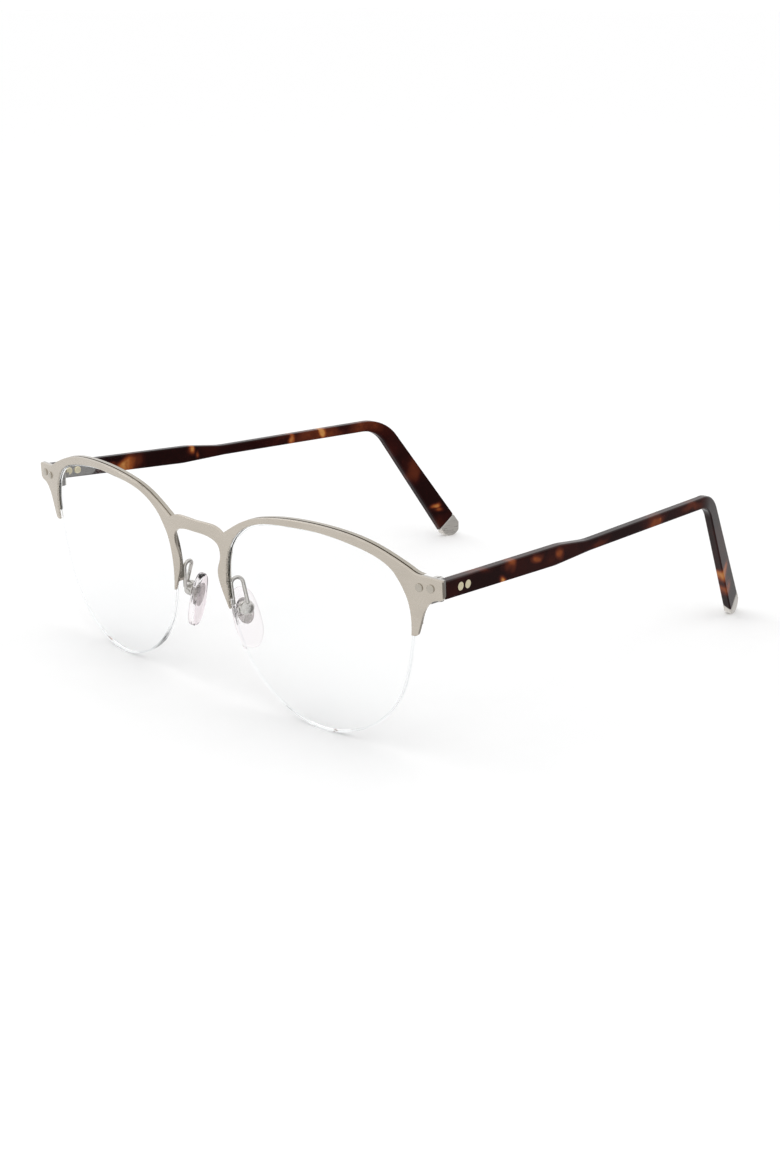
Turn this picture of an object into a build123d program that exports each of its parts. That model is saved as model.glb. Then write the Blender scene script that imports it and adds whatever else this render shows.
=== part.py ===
"""Half rim eyeglasses: a metal front with nylon-held lenses and folding acetate temples.

Frame: +X is the wearer's left, +Y runs from the front to the temple tips, +Z is up.
The origin is on the floor under the middle of the whole pair, which rests on the
lower edges of the lenses and on the two temple tips.
Everything is drawn for the wearer's left side and mirrored for the right.
"""
import os
from math import asin, cos, radians, sin

from build123d import *

os.makedirs("parts", exist_ok=True)

# ---- Driving dimensions, in millimetres and degrees ----

bridge_y = -65.78                 # face of the bridge, at floor height
front_radius = 354.0              # horizontal wrap of the front
front_tilt = 4.14                 # the top of the front leans forward
front_height = 48.0
outline_steps = 48                # points on an enlarged outline
cut_overrun = 0.1                 # cutters run this far past a face
plate_depth = 0.8
rim_depth = 1.15                  # wire rim behind the front plate
rim_width = 1.3
brow_width = 9.0                  # the rim thickens up to the plate's top edge
seam_depth = 0.25                 # shadow line between the plate and the rim
seam_inset = 0.3
lens_setback = 0.45               # lens face behind the plate's face
lens_thickness = 1.4
lens_gap = 0.05
front_sweep = 14.0                # how far back outlines are carried to meet the wrap
groove_depth = 0.45
groove_width = 0.56
channel_depth = 0.35
nylon_fit = 0.04
nylon_stand_out = -0.08

rivet_radius = 0.5
rivet_head_radius = 0.9
rivet_head_height = 0.35
rivet_head_round = 0.28
rivet_fit = 0.02
front_rivet_places = {"inner": (64.2, 38.2), "outer": (66.95, 38.4)}

flange_depth = 0.5
flange_outline = ((62.2, 36.9), (66.6, 36.1), (69.4, 36.8), (69.5, 40.65), (62.6, 40.65))
flange_reach = bridge_y + 4.2     # where the knuckle arms leave the flange
hinge_x = 65.35
hinge_y = bridge_y + 7.45
knuckle_radius = 1.3
knuckle_arm_width = 1.8
knuckle_levels = (35.1, 37.0, 38.3, 39.55)
knuckle_gap = 0.08
hinge_screw_radius = 0.65
hinge_screw_fit = 0.05
hinge_screw_head = (1.1, 0.4)     # radius and height
screw_slot = (0.3, 3.0)

temple_thickness = 2.2
temple_middle = 38.4              # height of the temple's middle at the hinge
temple_sweep = 100.0
band_height = 60.0
temple_front = (68.1, bridge_y + 5.6)
temple_bend = (58.2, bridge_y + 106.0)
temple_tip = (49.6, bridge_y + 134.5)
temple_bend_radius = 30.0
temple_fall = 2.3                 # the straight part drops towards the ear
rivet_disc_depth = 0.4
bend_top = (bridge_y + 111.0, 37.15)
bend_under = (bridge_y + 108.3, 34.35)
tip_top = (bridge_y + 134.46, 3.6)
tip_end = (bridge_y + 133.6, 0.775)
tip_under = (bridge_y + 129.3, 0.95)
top_edge_points = (
    (bridge_y + 4.5, 40.45), (bridge_y + 46.0, 38.9), (bridge_y + 56.0, 37.55),
    bend_top, tip_top,
)
top_edge_radii = (25.0, 25.0, 11.0)
bottom_edge_points = (
    (bridge_y + 4.5, 36.45), (bridge_y + 44.0, 34.6), (bridge_y + 57.0, 34.95),
    bend_under, tip_under,
)
bottom_edge_radii = (25.0, 25.0, 8.0)
core_width = 1.1
core_route = (
    (bridge_y + 16.0, 37.3), (bridge_y + 109.5, 35.75), (bridge_y + 127.0, 9.0),
)
core_bend_radius = 9.5
cap_joint = Plane(
    origin=(50.3, bridge_y + 130.5, 4.2), x_dir=(1, 0, 0), z_dir=(-0.6, 0.45, -0.66),
)
core_thickness = 0.7

leaf_thickness = 0.8
leaf_start = 3.4
leaf_knuckle_reach = bridge_y + 9.35
leaf_length = 9.0
leaf_height = 3.1
temple_rivet_places = {"front": 4.85, "rear": 7.25}

pad_centre = Vector(8.8, bridge_y + 4.5, 18.8)
pad_drop = Vector(0.296, 0.056, -0.952).normalized()
pad_splay = 25.0                  # the pads open towards the face
pad_thickness = 1.6
pad_box_radius = 1.8
pad_box_length = 2.3
pad_box_offset = 2.2              # swivel axis behind the pad's middle plane
pad_box_rise = 2.3                # swivel axis above the pad's centre
pad_core_size = (3.9, 6.1)
pad_core_thickness = 0.5
pad_core_rise = 1.5
pad_rounding = 0.55
pad_outline = (
    (0.0, 7.1), (-2.3, 5.6), (-3.2, 2.4), (-3.0, -2.6), (-2.0, -5.9), (0.0, -7.1),
    (2.0, -5.9), (3.0, -2.6), (3.2, 2.4), (2.3, 5.6),
)
pad_stem_radius = 0.75
pad_slot_gap = 0.15
pad_box_mouth = 0.95              # open end of the box, from the swivel axis towards the pad
pad_box_dome = 1.3
pad_screw_head_radius = 0.6
pad_screw_head_height = 0.2
arm_points = (
    (8.8, bridge_y + 0.93, 22.6), (8.4, bridge_y + 0.5, 28.4), (8.9, bridge_y + 3.3, 28.8),
    (11.0, bridge_y + 3.2, 22.9),
)
arm_bend_radius = 1.3
pad_stem_width = 0.9
pad_screw_radius = 0.4
pad_screw_fit = 0.05
pad_arm_radius = 0.45

# ---- Reference planes ----

tilt = radians(front_tilt)
front_normal = Vector(0, -cos(tilt), -sin(tilt))
front_up = Vector(0, -sin(tilt), cos(tilt))
front_plane = Plane(origin=(0, bridge_y, 0), x_dir=(1, 0, 0), z_dir=front_normal)
bow_centre = Vector(0, bridge_y, 0) + front_up * (front_height / 2) - front_normal * front_radius
bow_axis = Plane(origin=bow_centre, x_dir=(-1, 0, 0), z_dir=front_up)

temple_run = Vector(temple_bend[0] - temple_front[0], temple_bend[1] - temple_front[1], 0)
temple_back = temple_run.normalized() - Vector(0, 0, sin(radians(temple_fall)))
temple_outward = Vector(temple_run.Y, -temple_run.X, 0).normalized()


def on_front(across, height, depth=0.0):
    """Plane square to the curved front at a place on it, facing forward."""
    turn = asin(across / front_radius)
    outward = Vector(sin(turn), 0, 0) + front_normal * cos(turn)
    sideways = Vector(cos(turn), 0, 0) - front_normal * sin(turn)
    foot = Vector(0, bridge_y, 0) - front_normal * front_radius + front_up * height
    return Plane(origin=foot + outward * (front_radius - depth), x_dir=sideways, z_dir=outward)


def beside_temple(along, outward, height=0.0):
    """Plane on the temple's side: X runs back along it, Y up, Z outwards."""
    start = Vector(temple_front[0], temple_front[1], temple_middle)
    origin = start + temple_back * along + temple_outward * outward + Vector(0, 0, height)
    return Plane(origin=origin, x_dir=temple_back, z_dir=temple_outward)


def keep_layer(near, far):
    """Trim the part being built to a layer between two depths behind the front face."""
    with Locations(bow_axis):
        Cylinder(front_radius - near, 3 * front_height, mode=Mode.INTERSECT)
        Cylinder(front_radius - far, 3 * front_height, mode=Mode.SUBTRACT)


def save(piece, name):
    """Label a finished piece and write it."""
    piece.label = name
    export_step(piece, f"parts/{name}.step")


def save_pair(piece, name):
    """Write a piece of the left side and its mirror image for the right."""
    save(piece, f"{name}_left")
    save(mirror(piece, about=Plane.YZ), f"{name}_right")


# ---- Outlines of the front, seen square on ----

with BuildLine() as lens_outline:
    Spline(
        (35.0, 45.5), (25.2, 44.9), (16.9, 42.5), (11.8, 37.8), (9.7, 31.8),
        (9.8, 23.0), (12.9, 13.5), (20.9, 4.7), (35.5, -0.2), (49.0, 3.5),
        (57.2, 11.5), (61.0, 23.2), (61.5, 33.5), (57.9, 40.5), (49.0, 44.2),
        periodic=True,
    )

with BuildSketch(front_plane) as plate_half:
    with BuildLine():
        Polyline((0, 38.3), (0, 41.0), (3.0, 41.1))
        Spline((3.0, 41.1), (6.6, 41.0), (9.3, 39.8), tangents=((1, 0), (0.75, -0.66)))
        Spline(
            (9.3, 39.8), (17.3, 44.3), (25.2, 46.3), (35.0, 47.1), (46.0, 46.6),
            (55.1, 44.5), (62.0, 41.5), (69.2, 40.4),
            tangents=((0.85, 0.53), (1, -0.05)),
        )
        ThreePointArc((69.2, 40.4), (69.5, 40.25), (69.65, 39.9))
        Line((69.65, 39.9), (69.7, 37.0))
        ThreePointArc((69.7, 37.0), (69.45, 36.35), (68.8, 36.05))
        Spline(
            (68.8, 36.05), (67.3, 35.65), (65.9, 34.5), (64.6, 31.9), (63.9, 29.6), (63.4, 28.1),
            tangents=((-1, -0.15), (-0.35, -1)),
        )
        ThreePointArc((63.4, 28.1), (63.0, 27.5), (62.4, 27.3))
        Polyline((62.4, 27.3), (58.0, 27.3), (14.0, 22.2), (9.6, 22.2))
        Spline(
            (9.6, 22.2), (7.5, 26.8), (6.8, 30.8), (8.0, 34.3), (7.2, 37.1), (4.6, 38.1), (0, 38.3),
            tangents=((-0.45, 1), (-1, 0)),
        )
    make_face()


def outline_face(outwards):
    """The lens outline, enlarged all round by a distance."""
    curve = lens_outline.edge()
    points = []
    for step in range(outline_steps):
        place = curve @ (step / outline_steps)
        run = curve % (step / outline_steps)
        points.append((place.X + outwards * run.Y, place.Y - outwards * run.X))
    with BuildSketch(front_plane) as grown:
        with BuildLine():
            Spline(*points, periodic=True)
        make_face()
    return grown.sketch


def edge_strip(inner, outer, near, far, reach):
    """A strip along the lens edge, in one layer of the front, inside a reach outline."""
    outer_face = outline_face(outer)
    inner_face = outline_face(inner)
    with BuildPart() as strip:
        extrude(outer_face.faces(), amount=-front_sweep)
        extrude(inner_face.faces(), amount=-front_sweep, mode=Mode.SUBTRACT)
        keep_layer(near, far)
        with BuildSketch(front_plane):
            Polygon(*reach, align=None)
        extrude(amount=-front_sweep, mode=Mode.INTERSECT)
    return strip.part


brow_reach = ((9.4, 39.6), (62.2, 40.7), (69.6, 40.7), (69.6, 52), (9.4, 52))
rim_reach = ((4, 24.4), (12, 24.4), (59, 29.6), (67, 29.6), (67, 52), (4, 52))
cord_reach = ((4, 24.2), (12, 24.2), (59, 29.4), (67, 29.4), (67, -4), (4, -4))
whole_reach = ((4, -4), (67, -4), (67, 52), (4, 52))
groove_level = lens_setback + lens_thickness / 2
channel_near = groove_level - groove_width / 2
channel_far = groove_level + groove_width / 2
rim_back = plate_depth + rim_depth
flange_back = plate_depth + flange_depth

# ---- Front plate ----

channel = edge_strip(-cut_overrun, channel_depth, channel_near, channel_far, rim_reach)
aperture = outline_face(0)
with BuildPart() as front_plate:
    extrude(plate_half.sketch.faces(), amount=-front_sweep)
    extrude(aperture.faces(), amount=-front_sweep, mode=Mode.SUBTRACT)
    keep_layer(0, plate_depth)
    add(channel, mode=Mode.SUBTRACT)
    for across, height in front_rivet_places.values():
        with BuildSketch(on_front(across, height)):
            Circle(rivet_radius + rivet_fit)
        extrude(amount=-2 * plate_depth, mode=Mode.SUBTRACT)
    mirror(about=Plane.YZ)
save(front_plate.part, "front_plate")

# ---- Wire rim, nylon liner, lens and nylon cord ----

brow_rim = edge_strip(0, brow_width, plate_depth, rim_back, brow_reach)
side_rim = edge_strip(0, rim_width, plate_depth, rim_back, rim_reach)
lowered_plate = plate_half.sketch.moved(Location(front_up * -seam_inset))
with BuildPart() as seam:
    extrude(plate_half.sketch.faces(), amount=-front_sweep)
    extrude(lowered_plate.faces(), amount=-front_sweep, mode=Mode.SUBTRACT)
    keep_layer(plate_depth - cut_overrun, plate_depth + seam_depth)
with BuildPart() as rim_wire:
    add(brow_rim)
    add(side_rim)
    extrude(plate_half.sketch.faces(), amount=-front_sweep, mode=Mode.INTERSECT)
    add(seam.part, mode=Mode.SUBTRACT)
    add(channel, mode=Mode.SUBTRACT)
save_pair(rim_wire.part, "rim_wire")

groove = edge_strip(-groove_depth, 1, channel_near, channel_far, whole_reach)
lens_shape = outline_face(-lens_gap)
with BuildPart() as lens:
    extrude(lens_shape.faces(), amount=-front_sweep)
    keep_layer(lens_setback, lens_setback + lens_thickness)
    add(groove, mode=Mode.SUBTRACT)
save_pair(lens.part, "lens")

nylon_near = channel_near + nylon_fit
nylon_far = channel_far - nylon_fit
liner_inner = nylon_fit - groove_depth
liner_outer = channel_depth - nylon_fit
save_pair(edge_strip(liner_inner, liner_outer, nylon_near, nylon_far, rim_reach), "rim_liner")
save_pair(edge_strip(liner_inner, nylon_stand_out, nylon_near, nylon_far, cord_reach), "nylon_cord")

# ---- Hinge: front leaf, rivets and screw ----

level_0, level_1, level_2, level_3 = knuckle_levels


def knuckle(bottom, top, arm_start, bore):
    """One hinge knuckle with an arm running along Y from its leaf to the barrel."""
    with BuildPart() as barrel:
        with BuildSketch(Plane.XY.offset(bottom)):
            with Locations((hinge_x, hinge_y)):
                Circle(knuckle_radius)
            with Locations((hinge_x, (hinge_y + arm_start) / 2)):
                Rectangle(knuckle_arm_width, abs(hinge_y - arm_start))
            with Locations((hinge_x, hinge_y)):
                Circle(bore, mode=Mode.SUBTRACT)
        extrude(amount=top - bottom)
    return barrel.part


front_bore = hinge_screw_radius + rivet_fit
front_knuckles = [
    knuckle(level_0, level_1, flange_reach, front_bore),
    knuckle(level_2, level_3, flange_reach, front_bore),
]
with BuildPart() as hinge_front:
    with BuildSketch(front_plane):
        Polygon(*flange_outline, align=None)
    extrude(amount=-front_sweep)
    extrude(plate_half.sketch.faces(), amount=-front_sweep, mode=Mode.INTERSECT)
    keep_layer(plate_depth, flange_back)
    add(front_knuckles)
    with Locations(bow_axis):
        Cylinder(front_radius - plate_depth, 3 * front_height, mode=Mode.INTERSECT)
    for across, height in front_rivet_places.values():
        with BuildSketch(on_front(across, height)):
            Circle(rivet_radius + rivet_fit)
        extrude(amount=-4 * plate_depth, mode=Mode.SUBTRACT)
save_pair(hinge_front.part, "hinge_front")

for place, (across, height) in front_rivet_places.items():
    with BuildPart() as front_rivet:
        with BuildSketch(on_front(across, height, flange_back)):
            Circle(rivet_radius)
        extrude(amount=flange_back + cut_overrun)
        with BuildSketch(on_front(across, height)):
            Circle(rivet_head_radius)
        extrude(amount=rivet_head_height)
        fillet(front_rivet.edges().filter_by(GeomType.CIRCLE).sort_by(Axis.Y)[0], rivet_head_round)
    save_pair(front_rivet.part, f"front_rivet_{place}")

screw_head_radius, screw_head_height = hinge_screw_head
with BuildPart() as hinge_screw:
    with BuildSketch(Plane.XY.offset(level_0)):
        with Locations((hinge_x, hinge_y)):
            Circle(hinge_screw_radius)
    extrude(amount=level_3 - level_0)
    with BuildSketch(Plane.XY.offset(level_3)):
        with Locations((hinge_x, hinge_y)):
            Circle(screw_head_radius)
    extrude(amount=screw_head_height)
    with BuildSketch(Plane.XY.offset(level_3 + screw_head_height)):
        with Locations((hinge_x, hinge_y)):
            Rectangle(*screw_slot)
    extrude(amount=-screw_head_height / 2, mode=Mode.SUBTRACT)
save_pair(hinge_screw.part, "hinge_screw")

# ---- Temple: hinge leaf, rivets, acetate, core wire and tip cap ----

leaf_bore = hinge_screw_radius + hinge_screw_fit
leaf_knuckle = knuckle(level_1 + knuckle_gap, level_2 - knuckle_gap, leaf_knuckle_reach, leaf_bore)
with BuildPart() as hinge_leaf:
    with BuildSketch(beside_temple(leaf_start, -temple_thickness / 2)):
        with Locations((leaf_length / 2, 0)):
            SlotOverall(leaf_length, leaf_height)
        with Locations((leaf_length / 4, 0)):
            Rectangle(leaf_length / 2, leaf_height)
        for along in temple_rivet_places.values():
            with Locations((along - leaf_start, 0)):
                Circle(rivet_radius + rivet_fit, mode=Mode.SUBTRACT)
    extrude(amount=-leaf_thickness)
    add(leaf_knuckle)
save_pair(hinge_leaf.part, "hinge_leaf")

for place, along in temple_rivet_places.items():
    with BuildPart() as temple_rivet:
        with BuildSketch(beside_temple(along, temple_thickness / 2)):
            Circle(rivet_head_radius)
        extrude(amount=-rivet_disc_depth)
        with BuildSketch(beside_temple(along, temple_thickness / 2)):
            Circle(rivet_radius)
        extrude(amount=-temple_thickness - leaf_thickness)
        with BuildSketch(beside_temple(along, -temple_thickness / 2 - leaf_thickness)):
            Circle(rivet_head_radius)
        extrude(amount=-rivet_head_height)
        fillet(temple_rivet.edges().filter_by(GeomType.CIRCLE).sort_by(Axis.X)[0], rivet_head_round)
    save_pair(temple_rivet.part, f"temple_rivet_{place}")


def temple_plan(width):
    """The temple seen from above, as a band of one width along its centre line."""
    with BuildSketch() as plan:
        with BuildLine():
            FilletPolyline(temple_front, temple_bend, temple_tip, radius=temple_bend_radius)
        trace(line_width=width)
    return plan.sketch


temple_band = temple_plan(temple_thickness)
core_band = temple_plan(core_thickness)
with BuildPart() as temple_blank:
    with BuildSketch(Plane.YZ) as side_profile:
        with BuildLine():
            top_edge = FilletPolyline(*top_edge_points, radius=top_edge_radii)
            bottom_edge = FilletPolyline(*bottom_edge_points, radius=bottom_edge_radii)
            Line(top_edge @ 0, bottom_edge @ 0)
            ThreePointArc(top_edge @ 1, tip_end, bottom_edge @ 1)
        make_face()
    extrude(amount=temple_sweep)
    extrude(temple_band.faces(), amount=band_height, mode=Mode.INTERSECT)


with BuildPart() as temple_core_space:
    with BuildSketch(Plane.YZ):
        with BuildLine():
            FilletPolyline(*core_route, radius=core_bend_radius)
        trace(line_width=core_width)
    extrude(amount=temple_sweep)
    extrude(core_band.faces(), amount=band_height, mode=Mode.INTERSECT)
save_pair(temple_core_space.part, "temple_core")

with BuildPart(cap_joint) as cap_region:
    Box(30, 30, 30, align=(Align.CENTER, Align.CENTER, Align.MIN))

with BuildPart() as tip_cap:
    add(temple_blank.part)
    add(cap_region.part, mode=Mode.INTERSECT)
save_pair(tip_cap.part, "tip_cap")

with BuildPart() as temple:
    add(temple_blank.part)
    add(cap_region.part, mode=Mode.SUBTRACT)
    add(temple_core_space.part, mode=Mode.SUBTRACT)
    for along in temple_rivet_places.values():
        with BuildSketch(beside_temple(along, temple_thickness / 2)):
            Circle(rivet_head_radius + rivet_fit)
        extrude(amount=-rivet_disc_depth - rivet_fit, mode=Mode.SUBTRACT)
        with BuildSketch(beside_temple(along, temple_thickness)):
            Circle(rivet_radius + rivet_fit)
        extrude(amount=-2 * temple_thickness, mode=Mode.SUBTRACT)
save_pair(temple.part, "temple")

# ---- Nose pads ----

splay = radians(pad_splay)
pad_lean = (sin(splay) * pad_drop.Y - cos(splay) * pad_drop.X) / pad_drop.Z
pad_inward = Vector(-cos(splay), sin(splay), -pad_lean).normalized()
pad_face = Plane(origin=pad_centre, x_dir=pad_drop.cross(pad_inward), z_dir=pad_inward)
swivel = Plane(
    origin=pad_centre - pad_inward * pad_box_offset - pad_drop * pad_box_rise,
    x_dir=pad_face.x_dir, z_dir=pad_inward,
)
swivel_side = Plane(origin=swivel.origin, x_dir=pad_inward, z_dir=swivel.x_dir)

with BuildPart() as pad_core:
    with BuildSketch(pad_face.offset(-pad_core_thickness / 2)):
        with Locations((0, -pad_core_rise)):
            Ellipse(pad_core_size[0] / 2, pad_core_size[1] / 2)
    extrude(amount=pad_core_thickness)
    with BuildSketch(swivel_side):
        with Locations(((pad_box_offset - pad_core_thickness / 4) / 2, 0)):
            Rectangle(pad_box_offset - pad_core_thickness / 4, 2 * pad_stem_radius)
        Circle(pad_stem_radius)
        Circle(pad_screw_radius + pad_screw_fit, mode=Mode.SUBTRACT)
    extrude(amount=pad_stem_width / 2, both=True)
save_pair(pad_core.part, "pad_core")

with BuildPart() as nose_pad:
    with BuildSketch(pad_face.offset(-pad_thickness / 2)):
        with BuildLine():
            Spline(*pad_outline, periodic=True)
        make_face()
    extrude(amount=pad_thickness)
    fillet(nose_pad.edges(), pad_rounding)
    add(pad_core.part, mode=Mode.SUBTRACT)
save_pair(nose_pad.part, "nose_pad")

with BuildPart() as pad_box:
    with BuildSketch(swivel.offset(pad_box_mouth)):
        Circle(pad_box_radius)
    extrude(amount=-pad_box_length)
    fillet(pad_box.faces().sort_by(Axis(swivel.origin, tuple(pad_inward)))[0].edges(), pad_box_dome)
    with BuildSketch(swivel.offset(pad_box_mouth)):
        Rectangle(pad_stem_width + 2 * pad_slot_gap, 2 * (pad_stem_radius + 2 * pad_slot_gap))
    extrude(amount=-pad_box_mouth - pad_stem_radius - pad_slot_gap, mode=Mode.SUBTRACT)
    with BuildSketch(swivel_side):
        Circle(pad_screw_radius + rivet_fit)
    extrude(amount=2 * pad_box_radius, both=True, mode=Mode.SUBTRACT)
save_pair(pad_box.part, "pad_box")

with BuildPart() as pad_screw:
    with BuildSketch(swivel_side):
        Circle(pad_screw_radius)
    extrude(amount=pad_box_radius, both=True)
    with BuildSketch(swivel_side.offset(-pad_box_radius)):
        Circle(pad_screw_head_radius)
    extrude(amount=-pad_screw_head_height)
save_pair(pad_screw.part, "pad_screw")

with BuildPart() as pad_arm:
    with BuildLine() as arm_route:
        FilletPolyline(*arm_points, radius=arm_bend_radius)
    with BuildSketch(Plane(origin=arm_route.line @ 0, z_dir=arm_route.line % 0)):
        Circle(pad_arm_radius)
    sweep()
save_pair(pad_arm.part, "pad_arm")
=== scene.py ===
"""The looks of the half rim eyeglasses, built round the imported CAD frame.

Sizes are in metres unless a name says mm, and angles in degrees. +X is the wearer's left,
+Y runs back to the temple tips, +Z is up, and the pair stands on the floor at Z = 0.
"""
from math import cos, radians, sin

import bpy
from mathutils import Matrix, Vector


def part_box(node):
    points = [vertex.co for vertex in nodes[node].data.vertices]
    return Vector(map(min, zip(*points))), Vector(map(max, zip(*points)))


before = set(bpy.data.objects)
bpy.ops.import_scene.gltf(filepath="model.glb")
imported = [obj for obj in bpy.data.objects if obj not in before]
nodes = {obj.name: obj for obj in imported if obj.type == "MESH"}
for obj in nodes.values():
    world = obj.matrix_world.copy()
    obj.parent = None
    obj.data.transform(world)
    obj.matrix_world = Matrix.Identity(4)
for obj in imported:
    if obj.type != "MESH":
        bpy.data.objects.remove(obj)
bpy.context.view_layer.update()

MM = 0.001
join_distance = 0.000002
SIDES = ("left", "right")
sharp_angle = radians(40)
flat_angle = radians(0.6)
rivet_clearance = Vector((0, 0.5 * MM, 0.25 * MM))
plate_round = 0.18 * MM
temple_round = 0.45 * MM
cap_round = 0.3 * MM
hinge_round = 0.12 * MM

# ---- Camera, floor and light ----

camera_azimuth = 45.52
camera_elevation = 17.64
camera_distance = 0.3722
camera_lens_mm = 56.89
camera_target = Vector((0.059046, -0.06578, 0.038605))
floor_size = 40.0
floor_white = 0.955
world_strength = 1.06
dark_side = (0.76, 0.59, -0.28)
dark_span = (0.55, 0.95, 1.0, 0.3)


def direction(azimuth, elevation):
    """Unit vector from the object towards a viewer; azimuth 0 is in front of the lenses."""
    turn, rise = radians(azimuth), radians(elevation)
    return Vector((sin(turn) * cos(rise), -cos(turn) * cos(rise), sin(rise)))


def aim(thing, towards, distance, target):
    """Put a camera or light that far from the target and turn it to face it."""
    thing.location = target + towards * distance
    thing.rotation_mode = "QUATERNION"
    thing.rotation_quaternion = (-towards).to_track_quat("-Z", "Y")
    bpy.context.scene.collection.objects.link(thing)


def place_camera():
    """The camera, in front of the wearer's left side and a little above the lenses."""
    data = bpy.data.cameras.new("camera")
    data.lens = camera_lens_mm
    data.sensor_width = 36.0
    data.clip_start = 0.01
    camera = bpy.data.objects.new("camera", data)
    aim(camera, direction(camera_azimuth, camera_elevation), camera_distance, camera_target)
    bpy.context.scene.camera = camera


def softbox(name, azimuth, elevation, distance, size, power):
    """A soft square light that faces the middle of the glasses."""
    data = bpy.data.lights.new(name, "AREA")
    data.size = size
    data.energy = power
    light = bpy.data.objects.new(name, data)
    aim(light, direction(azimuth, elevation), distance, Vector((0, 0, 0.03)))


def light_scene():
    """White surroundings with one darker side, a wide overhead softbox and a small key."""
    world = bpy.data.worlds.new("studio")
    world.use_nodes = True
    tree = world.node_tree
    background = tree.nodes["Background"]
    side = tree.nodes.new("ShaderNodeVectorMath")
    side.operation = "DOT_PRODUCT"
    side.inputs[1].default_value = dark_side
    shade = tree.nodes.new("ShaderNodeMapRange")
    shade.interpolation_type = "SMOOTHSTEP"
    for key, number in zip(("From Min", "From Max", "To Min", "To Max"), dark_span):
        shade.inputs[key].default_value = number
    sky = tree.nodes.new("ShaderNodeTexCoord")
    tree.links.new(sky.outputs["Generated"], side.inputs[0])
    tree.links.new(side.outputs["Value"], shade.inputs["Value"])
    tree.links.new(shade.outputs["Result"], background.inputs["Color"])
    background.inputs["Strength"].default_value = world_strength
    bpy.context.scene.world = world
    softbox("overhead", 10, 80, 1.2, 1.0, 0.6)
    softbox("key", -66, 42, 1.0, 0.3, 0.5)


# ---- Shader helpers ----


class Shader:
    """A new material and its node tree, with short calls to add nodes."""

    def __init__(self, name):
        self.material = bpy.data.materials.new(name)
        self.material.use_nodes = True
        self.tree = self.material.node_tree
        self.surface = self.tree.nodes["Principled BSDF"]

    def node(self, kind, **settings):
        made = self.tree.nodes.new("ShaderNode" + kind)
        for key, value in settings.items():
            setattr(made, key, value)
        return made

    def wire(self, source, target):
        """Join an output to an input, or set the input when the source is a constant."""
        if isinstance(source, bpy.types.NodeSocket):
            self.tree.links.new(source, target)
        else:
            target.default_value = source

    def place(self):
        """The point on the piece, in metres in its own frame."""
        return self.node("TexCoord").outputs["Object"]

    def maths(self, operation, first, second=0.0):
        made = self.node("Math", operation=operation)
        self.wire(first, made.inputs[0])
        self.wire(second, made.inputs[1])
        return made.outputs[0]

    def vector(self, operation, first, second=(0, 0, 0)):
        made = self.node("VectorMath", operation=operation)
        self.wire(first, made.inputs[0])
        self.wire(second, made.inputs[1])
        return made.outputs["Value" if operation == "LENGTH" else "Vector"]

    def noise(self, at, scale, detail=2.0):
        made = self.node("TexNoise")
        self.wire(at, made.inputs["Vector"])
        made.inputs["Scale"].default_value = scale
        made.inputs["Detail"].default_value = detail
        return made.outputs["Fac"]

    def span(self, value, low, high, to_low, to_high, smooth=False):
        """Map a value from one range to another, held at the ends."""
        made = self.node("MapRange")
        made.interpolation_type = "SMOOTHSTEP" if smooth else "LINEAR"
        self.wire(value, made.inputs["Value"])
        for key, number in zip(("From Min", "From Max", "To Min", "To Max"),
                               (low, high, to_low, to_high)):
            made.inputs[key].default_value = number
        return made.outputs["Result"]

    def ramp(self, value, stops):
        """A colour ramp; stops are (position, (red, green, blue))."""
        made = self.node("ValToRGB")
        band = made.color_ramp
        while len(band.elements) < len(stops):
            band.elements.new(0.5)
        for element, (position, colour) in zip(band.elements, stops):
            element.position = position
            element.color = (*colour, 1)
        self.wire(value, made.inputs["Fac"])
        return made.outputs["Color"]

    def bump(self, height, strength, distance):
        made = self.node("Bump")
        made.inputs["Strength"].default_value = strength
        made.inputs["Distance"].default_value = distance
        self.wire(height, made.inputs["Height"])
        self.wire(made.outputs["Normal"], self.surface.inputs["Normal"])

    def set(self, **values):
        """Constants or outputs for the shader's own sockets; underscores stand for spaces."""
        for key, value in values.items():
            self.wire(value, self.surface.inputs[key.replace("_", " ")])


# ---- Materials ----


def metal(name, dark, pale, roughness, grain, stretch=(1, 1, 1), metallic=1.0):
    """Satin or polished metal: a fine grain shifts the tint, the gloss and the surface."""
    s = Shader(name)
    at = s.vector("MULTIPLY", s.place(), stretch)
    fine = s.noise(at, grain, 3.0)
    broad = s.noise(s.place(), 90.0)
    s.set(
        Base_Color=s.ramp(s.maths("MULTIPLY", s.maths("ADD", fine, broad), 0.5),
                          ((0.3, dark), (0.7, pale))),
        Metallic=metallic,
        Roughness=s.span(fine, 0.3, 0.7, roughness * 0.85, roughness * 1.2),
    )
    s.bump(fine, 0.08, 0.00002)
    return s.material


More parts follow.
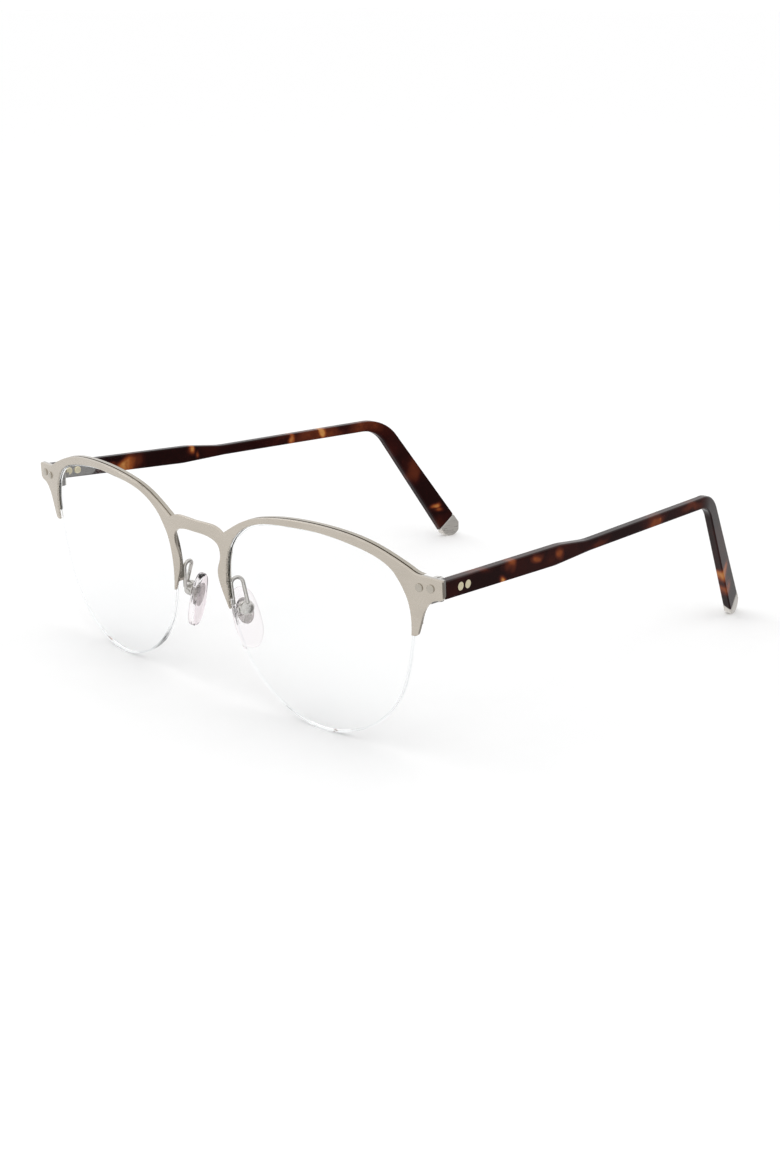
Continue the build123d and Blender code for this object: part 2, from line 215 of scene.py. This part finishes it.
def tortoise(name, patches):
    """Polished tortoise acetate: near black, with red-brown clouds and placed amber patches.

    A patch is (y, z, half length, half height, strength) in mm; it runs through the sheet.
    """
    s = Shader(name)
    place = s.place()
    drift = s.node("TexNoise")
    s.wire(place, drift.inputs["Vector"])
    drift.inputs["Scale"].default_value = 140.0
    drift.inputs["Detail"].default_value = 1.5
    shift = s.vector("MULTIPLY", s.vector("SUBTRACT", drift.outputs["Color"], (0.5, 0.5, 0.5)),
                     (0.007, 0.007, 0.007))
    warped = s.vector("ADD", place, shift)
    amount = s.span(s.noise(s.vector("MULTIPLY", warped, (1, 0.55, 1)), 85.0),
                    0.45, 0.75, 0.0, 0.42)
    for along, height, half_length, half_height, strength in patches:
        offset = s.vector("SUBTRACT", warped, (0, along * MM, height * MM))
        scaled = s.vector("MULTIPLY", offset, (0, 1 / (half_length * MM), 1 / (half_height * MM)))
        blob = s.span(s.vector("LENGTH", scaled), 0.15, 1.25, strength, 0.0, smooth=True)
        amount = s.maths("MAXIMUM", amount, blob)
    fleck = s.span(s.noise(warped, 420.0), 0.3, 0.7, 0.9, 1.1)
    s.set(
        Base_Color=s.ramp(s.maths("MULTIPLY", amount, fleck), (
            (0.0, (0.0105, 0.0017, 0.0015)),
            (0.22, (0.026, 0.0036, 0.0024)),
            (0.48, (0.085, 0.016, 0.006)),
            (0.72, (0.26, 0.062, 0.014)),
            (1.0, (0.62, 0.30, 0.085)),
        )),
        Roughness=s.span(s.noise(place, 260.0), 0.3, 0.7, 0.13, 0.19),
        Specular_IOR_Level=0.09,
    )
    s.bump(s.noise(place, 180.0, 1.0), 0.05, 0.00005)
    return s.material


def clear(name, tint, rim_tint, roughness, ior, dust):
    """Clear lens, nylon or silicone: refracting, hazed a little and tinted at its rim."""
    s = Shader(name)
    haze = s.noise(s.place(), dust)
    facing = s.node("LayerWeight")
    facing.inputs["Blend"].default_value = 0.5
    edge = s.maths("ADD", facing.outputs["Facing"], s.span(haze, 0.3, 0.7, -0.03, 0.03))
    s.set(
        Base_Color=s.ramp(edge, ((0.3, tint), (0.75, rim_tint))),
        Roughness=s.span(haze, 0.3, 0.7, roughness, roughness * 1.6),
        Transmission_Weight=1.0,
        IOR=ior,
    )
    return s.material


left_patches = (
    (-51.0, 40.3, 7.0, 1.6, 0.62),
    (-41.0, 35.4, 1.8, 1.3, 0.86),
    (-38.8, 39.0, 2.4, 2.4, 0.66),
    (-29.5, 39.4, 3.0, 1.8, 0.62),
    (-20.5, 36.6, 2.2, 3.2, 0.62),
    (-6.0, 36.0, 4.0, 1.4, 0.42),
    (17.5, 36.4, 6.5, 2.6, 0.58),
    (19.5, 36.8, 1.6, 1.0, 0.70),
    (34.0, 36.6, 7.0, 2.0, 0.46),
    (56.8, 13.2, 3.2, 4.0, 0.78),
    (59.4, 8.0, 3.0, 4.0, 0.62),
)
right_patches = (
    (-39.0, 36.2, 5.0, 3.4, 0.84),
    (-44.0, 37.4, 4.0, 2.0, 0.62),
    (-19.3, 38.6, 1.5, 2.6, 0.86),
    (-17.2, 36.5, 1.4, 1.6, 0.60),
    (12.8, 35.8, 1.6, 3.0, 0.80),
    (23.7, 36.0, 2.2, 3.2, 0.95),
    (22.0, 35.8, 14.0, 3.0, 0.52),
    (38.0, 35.6, 9.0, 4.5, 0.50),
    (53.0, 22.0, 3.0, 5.0, 0.46),
    (60.5, 10.6, 2.4, 2.0, 0.78),
    (61.6, 8.8, 2.4, 1.6, 0.62),
)

nickel_dark, nickel_pale = (0.49, 0.445, 0.385), (0.56, 0.51, 0.445)
plate_nickel = metal("plate_nickel", nickel_dark, nickel_pale, 0.26, 700.0, (0.25, 1, 3))
rim_nickel = metal("rim_nickel", (0.40, 0.37, 0.32), (0.48, 0.445, 0.39), 0.17, 900.0)
bright_steel = metal("bright_steel", (0.50, 0.485, 0.46), (0.60, 0.585, 0.56), 0.12, 800.0)
cap_silver = metal("cap_silver", (0.52, 0.49, 0.45), (0.64, 0.61, 0.57), 0.3, 600.0, (1, 0.3, 3), 0.7)
gold = metal("pale_gold", (0.74, 0.66, 0.42), (0.86, 0.79, 0.58), 0.32, 1200.0, metallic=0.45)
left_tortoise = tortoise("tortoise_left", left_patches)
right_tortoise = tortoise("tortoise_right", right_patches)
lens_clear = clear("lens_clear", (0.99, 0.995, 0.995), (0.965, 0.97, 0.975), 0.0, 1.12, 60.0)
nylon_clear = clear("nylon_clear", (0.975, 0.98, 0.985), (0.90, 0.91, 0.92), 0.08, 1.18, 400.0)
pad_clear = clear("pad_clear", (0.985, 0.955, 0.965), (0.62, 0.50, 0.54), 0.04, 1.32, 260.0)


# ---- Dressing the CAD nodes ----

rivet_low, rivet_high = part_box("temple_rivet_rear_left")
rivets_back = rivet_high.y + rivet_clearance.y
rivets_high = rivet_high.z + rivet_clearance.z
rivets_low = rivet_low.z - rivet_clearance.z


def compare(group, operation, value, limit):
    """A yes or no output of a geometry node group, from a number and a limit."""
    made = group.nodes.new("FunctionNodeCompare")
    made.operation = operation
    group.links.new(value, made.inputs[0])
    made.inputs[1].default_value = limit
    return made.outputs[0]


def either(group, first, second):
    """Yes where one of two yes or no outputs is yes."""
    made = group.nodes.new("FunctionNodeBooleanMath")
    made.operation = "OR"
    group.links.new(first, made.inputs[0])
    group.links.new(second, made.inputs[1])
    return made.outputs[0]


def new_group(name):
    """An empty geometry node group, with its start and end nodes."""
    group = bpy.data.node_groups.new(name, "GeometryNodeTree")
    group.interface.new_socket("Geometry", in_out="INPUT", socket_type="NodeSocketGeometry")
    group.interface.new_socket("Geometry", in_out="OUTPUT", socket_type="NodeSocketGeometry")
    return group, group.nodes.new("NodeGroupInput"), group.nodes.new("NodeGroupOutput")


def join_group():
    """Geometry nodes that join the CAD mesh's split corners and shade it smooth."""
    group, start, end = new_group("join_and_smooth")
    drop = group.nodes.new("GeometryNodeRemoveAttribute")
    drop.inputs["Name"].default_value = "custom_normal"
    join = group.nodes.new("GeometryNodeMergeByDistance")
    join.inputs["Distance"].default_value = join_distance
    smooth = group.nodes.new("GeometryNodeSetShadeSmooth")
    group.links.new(start.outputs[0], drop.inputs["Geometry"])
    group.links.new(drop.outputs["Geometry"], join.inputs["Geometry"])
    group.links.new(join.outputs["Geometry"], smooth.inputs["Geometry"])
    group.links.new(smooth.outputs["Geometry"], end.inputs[0])
    return group


def edge_group():
    """Geometry nodes that pick the sharp edges to round, and keep rivet holes crisp instead."""
    group, start, end = new_group("pick_edges")
    angle = group.nodes.new("GeometryNodeInputMeshEdgeAngle")
    sharp = compare(group, "GREATER_THAN", angle.outputs["Unsigned Angle"], sharp_angle)
    place = group.nodes.new("GeometryNodeInputPosition")
    split = group.nodes.new("ShaderNodeSeparateXYZ")
    group.links.new(place.outputs["Position"], split.inputs["Vector"])
    behind = compare(group, "GREATER_THAN", split.outputs["Y"], rivets_back)
    above = compare(group, "GREATER_THAN", split.outputs["Z"], rivets_high)
    below = compare(group, "LESS_THAN", split.outputs["Z"], rivets_low)
    clear_of_rivets = either(group, either(group, behind, above), below)
    both = group.nodes.new("FunctionNodeBooleanMath")
    group.links.new(sharp, both.inputs[0])
    group.links.new(clear_of_rivets, both.inputs[1])
    weight = group.nodes.new("GeometryNodeStoreNamedAttribute")
    weight.domain = "EDGE"
    weight.inputs["Name"].default_value = "bevel_weight_edge"
    group.links.new(both.outputs[0], weight.inputs["Value"])
    hole = group.nodes.new("FunctionNodeBooleanMath")
    hole.operation = "NIMPLY"
    group.links.new(sharp, hole.inputs[0])
    group.links.new(clear_of_rivets, hole.inputs[1])
    crisp = group.nodes.new("GeometryNodeSetShadeSmooth")
    crisp.domain = "EDGE"
    crisp.inputs["Shade Smooth"].default_value = False
    group.links.new(hole.outputs[0], crisp.inputs["Selection"])
    group.links.new(start.outputs[0], weight.inputs["Geometry"])
    group.links.new(weight.outputs["Geometry"], crisp.inputs["Geometry"])
    group.links.new(crisp.outputs["Geometry"], end.inputs[0])
    return group


def round_edges(name, width, steps=3):
    """Round a CAD node's sharp edges by a width, without changing its mesh."""
    node = nodes[name]
    node.modifiers.new("join", "NODES").node_group = joiner
    flat = node.modifiers.new("flat", "DECIMATE")
    flat.decimate_type = "DISSOLVE"
    flat.angle_limit = flat_angle
    node.modifiers.new("edges", "NODES").node_group = picker
    bevel = node.modifiers.new("round", "BEVEL")
    bevel.width = width
    bevel.segments = steps
    bevel.limit_method = "WEIGHT"
    bevel.use_clamp_overlap = False
    bevel.harden_normals = True


def paint(name, material):
    """Give a CAD node its material."""
    data = nodes[name].data
    data.materials.clear()
    data.materials.append(material)


def dress():
    """Every CAD node's material."""
    paint("front_plate", plate_nickel)
    for side in SIDES:
        acetate = left_tortoise if side == "left" else right_tortoise
        looks = {
            rim_nickel: ("rim_wire", "front_rivet_inner", "front_rivet_outer"),
            bright_steel: ("hinge_front", "hinge_screw", "hinge_leaf", "pad_arm", "pad_box",
                           "pad_screw", "temple_core", "pad_core"),
            cap_silver: ("tip_cap",),
            gold: ("temple_rivet_front", "temple_rivet_rear"),
            acetate: ("temple",),
            lens_clear: ("lens",),
            nylon_clear: ("rim_liner", "nylon_cord"),
            pad_clear: ("nose_pad",),
        }
        for material, names in looks.items():
            for name in names:
                paint(f"{name}_{side}", material)
    round_edges("front_plate", plate_round)
    for side in SIDES:
        round_edges(f"temple_{side}", temple_round, 4)
        round_edges(f"tip_cap_{side}", cap_round)
        round_edges(f"hinge_front_{side}", hinge_round)


def make_floor():
    """Plain pale paper floor."""
    bpy.ops.mesh.primitive_plane_add(size=floor_size)
    floor = bpy.context.object
    floor.name = "floor"
    s = Shader("floor_paper")
    tone = s.noise(s.place(), 90.0)
    s.set(Base_Color=s.ramp(tone, ((0.3, (floor_white,) * 3), (0.7, (floor_white + 0.01,) * 3))),
          Roughness=0.9, Specular_IOR_Level=0.1)
    floor.data.materials.append(s.material)
    floor.visible_glossy = False


place_camera()
light_scene()
make_floor()
joiner = join_group()
picker = edge_group()
dress()

bpy.context.scene.view_settings.view_transform = "Standard"
